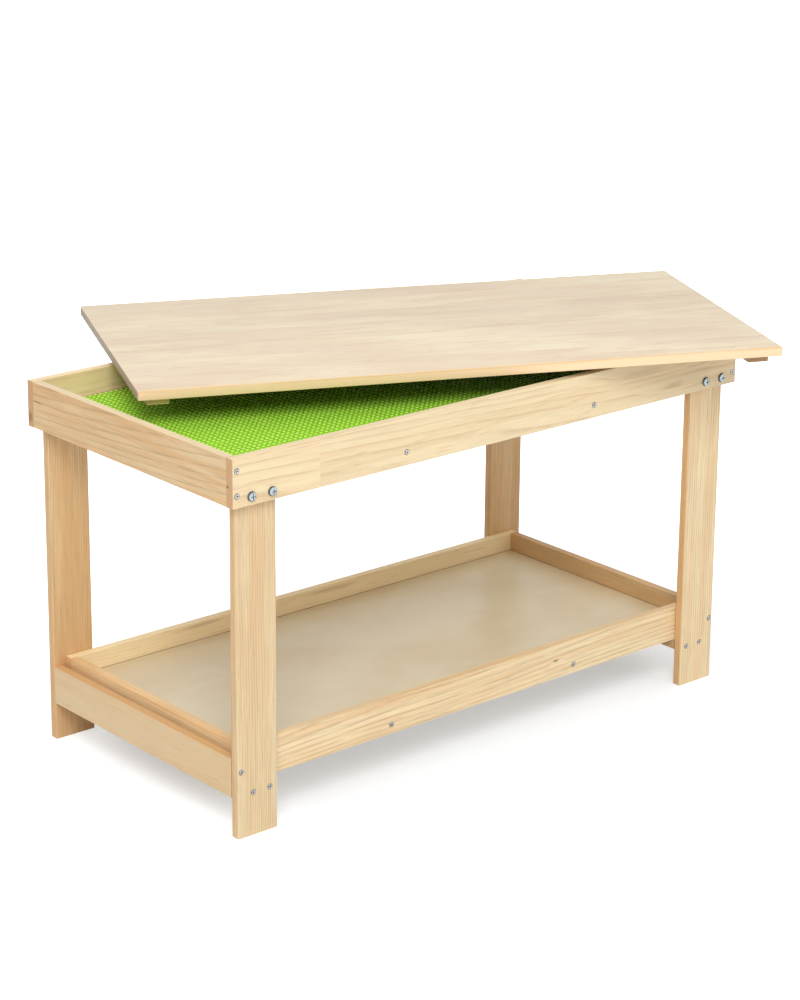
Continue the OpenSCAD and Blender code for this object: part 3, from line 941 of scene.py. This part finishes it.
def turned_size(node, turn, corner_radius):
    """The size of a board with rounded corners, from its box after a turn about the vertical."""
    low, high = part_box(node)
    rounding = Vector((2 * corner_radius, 2 * corner_radius, 0.0))
    wide, deep, tall = high - low - rounding
    cos, sin = math.cos(turn), abs(math.sin(turn))
    share = cos * cos - sin * sin
    return rounding + Vector((
        (wide * cos - deep * sin) / share, (deep * cos - wide * sin) / share, tall
    ))


# ---- Operators ----


class PLAYTABLE_OT_tray(bpy.types.Operator):
    """Finish the tray's boards and battens"""

    bl_idname = "play_table.tray"
    bl_label = "Tray Boards"

    def execute(self, context):
        finish_boards(TRAY, context.scene.play_table_pine)
        return {"FINISHED"}


class PLAYTABLE_OT_legs(bpy.types.Operator):
    """Finish the four legs"""

    bl_idname = "play_table.legs"
    bl_label = "Legs"

    def execute(self, context):
        finish_boards(LEGS, context.scene.play_table_pine)
        return {"FINISHED"}


class PLAYTABLE_OT_lower_frame(bpy.types.Operator):
    """Finish the end rails and the cleats that carry the storage box"""

    bl_idname = "play_table.lower_frame"
    bl_label = "Lower Frame"

    def execute(self, context):
        finish_boards(LOWER_FRAME, context.scene.play_table_pine)
        return {"FINISHED"}


class PLAYTABLE_OT_storage_box(bpy.types.Operator):
    """Finish the storage box's boards and battens"""

    bl_idname = "play_table.storage_box"
    bl_label = "Storage Box"

    def execute(self, context):
        finish_boards(STORAGE_BOX, context.scene.play_table_pine)
        return {"FINISHED"}


class PLAYTABLE_OT_panels(bpy.types.Operator):
    """Finish the floor panels of the tray and the storage box"""

    bl_idname = "play_table.panels"
    bl_label = "Floor Panels"

    def execute(self, context):
        for node in ("tray_floor_panel", "box_floor_panel"):
            paint(node, fibreboard("fibreboard_" + node, context.scene.play_table_panel, node))
        return {"FINISHED"}


class PLAYTABLE_OT_brick_plates(bpy.types.Operator):
    """Build the two studded brick plates"""

    bl_idname = "play_table.brick_plates"
    bl_label = "Brick Plates"

    def execute(self, context):
        plate = context.scene.play_table_plate
        green = plastic(plate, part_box("brick_plate_left")[1].z - plate.stud_height)
        for side in ("left", "right"):
            node = "brick_plate_" + side
            piece = place_piece(
                "studded_plate_" + side, brick_plate(plate, *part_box(node)),
                "table", green, node,
            )
            smooth_shading(piece)
        return {"FINISHED"}


class PLAYTABLE_OT_lid(bpy.types.Operator):
    """Build the lid's panel and finish its battens"""

    bl_idname = "play_table.lid"
    bl_label = "Lid"

    def execute(self, context):
        lid = context.scene.play_table_lid
        size = turned_size("lid_board", LID_TURN, lid.corner_radius)
        centre = middle("lid_board")
        piece = place_piece(
            "lid_panel", lid_panel(lid, centre, size), "lid",
            lid_wood(lid, centre, size.y / 2, size.z / 2), "lid_board",
        )
        smooth_shading(piece)
        finish_boards(LID_BATTENS, context.scene.play_table_pine)
        return {"FINISHED"}


class PLAYTABLE_OT_fasteners(bpy.types.Operator):
    """Finish the screws, bolts, washers and nuts"""

    bl_idname = "play_table.fasteners"
    bl_label = "Fasteners"

    def execute(self, context):
        settings = context.scene.play_table_zinc
        screws = zinc("zinc_screws", settings.bright, settings.screw_flatness, settings)
        bolts = zinc("bluish_zinc", settings.bluish, settings.bolt_flatness, settings)
        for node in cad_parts:
            if node.endswith("_screws"):
                paint(node, screws)
            elif node.endswith(("_bolts", "_washers", "_nuts")):
                paint(node, bolts)
        return {"FINISHED"}


class PLAYTABLE_OT_stage(bpy.types.Operator):
    """Set up the floor, the surround, the lamps and the camera"""

    bl_idname = "play_table.stage"
    bl_label = "Stage"

    def execute(self, context):
        studio = context.scene.play_table_studio
        self.add_floor(context, studio)
        self.add_surround(context, studio)
        for lamp in ("softbox", "fill"):
            self.add_lamp(context, studio, lamp)
        self.add_camera(context, studio)
        context.scene.view_settings.view_transform = "Standard"
        return {"FINISHED"}

    def add_floor(self, context, studio):
        bm = bmesh.new()
        bmesh.ops.create_grid(bm, x_segments=8, y_segments=8, size=studio.floor_reach)
        mesh = bpy.data.meshes.new("studio_floor")
        bm.to_mesh(mesh)
        bm.free()
        floor = bpy.data.objects.new("studio_floor", mesh)
        context.scene.collection.objects.link(floor)
        mesh.materials.append(self.floor_finish(studio))

    def floor_finish(self, studio):
        """Pale matt floor that fades to the white surround away from the table."""
        finish = Finish.named("pale_floor")
        around = finish.moved(finish.object_place(), (0.0, studio.fade_forward, 0.0))
        distance = finish.length(finish.scaled(around, (studio.fade_squash, 1.0, 0.0)))
        rays = finish.node("LightPath", output="Is Camera Ray")
        matt = finish.node("BsdfDiffuse", {}, {"Color": (*studio.floor, 1.0)})
        glow = {"Color": (*studio.floor_white, 1.0), "Strength": studio.floor_white_strength}
        white = finish.node("Emission", {}, glow)
        away = distance.between(studio.fade_start, studio.fade_end)
        fade = (studio.floor_glow + (1.0 - studio.floor_glow) * away) * rays
        finish.node_output(finish.node("MixShader", {}, {0: fade, 1: matt, 2: white}))
        return finish.owner

    def add_surround(self, context, studio):
        """White to the camera and in reflections, and a soft grey light that brightens overhead."""
        world = bpy.data.worlds.new("studio_surround")
        context.scene.world = world
        sky = Finish(world)
        height = sky.part(sky.node("TexCoord", output="Generated"), "Z")
        overhead = height.between(studio.sky_start, studio.sky_end)
        light = studio.horizon + (studio.zenith - studio.horizon) * overhead
        seen = sky.node("LightPath", output="Is Camera Ray")
        for ray in ("Is Glossy Ray", "Is Transmission Ray"):
            seen = seen.maths("MAXIMUM", seen, sky.node("LightPath", output=ray))
        strength = light + (1.0 - light) * seen
        shader = sky.node("Background", {}, {"Color": (1.0, 1.0, 1.0, 1.0), "Strength": strength})
        sky.node_output(shader, "World")

    def add_lamp(self, context, studio, name):
        """Adds the square lamp of that name, facing the lamps' target."""
        place = Vector(getattr(studio, name + "_place"))
        data = bpy.data.lights.new(name, "AREA")
        data.shape = "SQUARE"
        data.size = getattr(studio, name + "_size")
        data.energy = getattr(studio, name + "_power")
        lamp = bpy.data.objects.new(name, data)
        lamp.location = place
        aim = Vector(studio.lamp_target) - place
        lamp.rotation_euler = aim.to_track_quat("-Z", "Y").to_euler()
        context.scene.collection.objects.link(lamp)

    def add_camera(self, context, studio):
        data = bpy.data.cameras.new("photo_camera")
        data.sensor_fit = "AUTO"
        data.sensor_width = 36.0
        data.lens = studio.camera_lens
        data.shift_y = studio.camera_rise
        data.clip_end = 100.0
        data.dof.use_dof = False
        camera = bpy.data.objects.new("photo_camera", data)
        turn = (
            Matrix.Rotation(studio.camera_heading, 4, "Z")
            @ Matrix.Rotation(studio.camera_tilt, 4, "X")
            @ Matrix.Rotation(studio.camera_roll, 4, "Z")
        )
        camera.matrix_world = Matrix.Translation(studio.camera_place) @ turn
        context.scene.collection.objects.link(camera)
        context.scene.camera = camera


# ---- Panel and registration ----

STEPS = (
    PLAYTABLE_OT_tray,
    PLAYTABLE_OT_legs,
    PLAYTABLE_OT_lower_frame,
    PLAYTABLE_OT_storage_box,
    PLAYTABLE_OT_panels,
    PLAYTABLE_OT_brick_plates,
    PLAYTABLE_OT_lid,
    PLAYTABLE_OT_fasteners,
    PLAYTABLE_OT_stage,
)
SETTINGS = {
    "play_table_pine": PineSettings,
    "play_table_lid": LidSettings,
    "play_table_panel": PanelSettings,
    "play_table_plate": PlateSettings,
    "play_table_zinc": ZincSettings,
    "play_table_studio": StudioSettings,
}


class PLAYTABLE_PT_sidebar(bpy.types.Panel):
    """Lists the table's settings and steps"""

    bl_label = "Play Table"
    bl_idname = "PLAYTABLE_PT_sidebar"
    bl_space_type = "VIEW_3D"
    bl_region_type = "UI"
    bl_category = "Play Table"

    def draw(self, context):
        for step in STEPS:
            self.layout.operator(step.bl_idname)
        for name, group in SETTINGS.items():
            box = self.layout.box()
            box.label(text=group.__doc__)
            for value in group.__annotations__:
                box.prop(getattr(context.scene, name), value)


CLASSES = (*SETTINGS.values(), *STEPS, PLAYTABLE_PT_sidebar)


def register():
    for item in CLASSES:
        bpy.utils.register_class(item)
    for name, group in SETTINGS.items():
        setattr(bpy.types.Scene, name, PointerProperty(type=group))


def unregister():
    for name in SETTINGS:
        delattr(bpy.types.Scene, name)
    for item in reversed(CLASSES):
        bpy.utils.unregister_class(item)


def main():
    register()
    bpy.ops.play_table.tray()
    bpy.ops.play_table.legs()
    bpy.ops.play_table.lower_frame()
    bpy.ops.play_table.storage_box()
    bpy.ops.play_table.panels()
    bpy.ops.play_table.brick_plates()
    bpy.ops.play_table.lid()
    bpy.ops.play_table.fasteners()
    bpy.ops.play_table.stage()


if __name__ == "__main__":
    main()
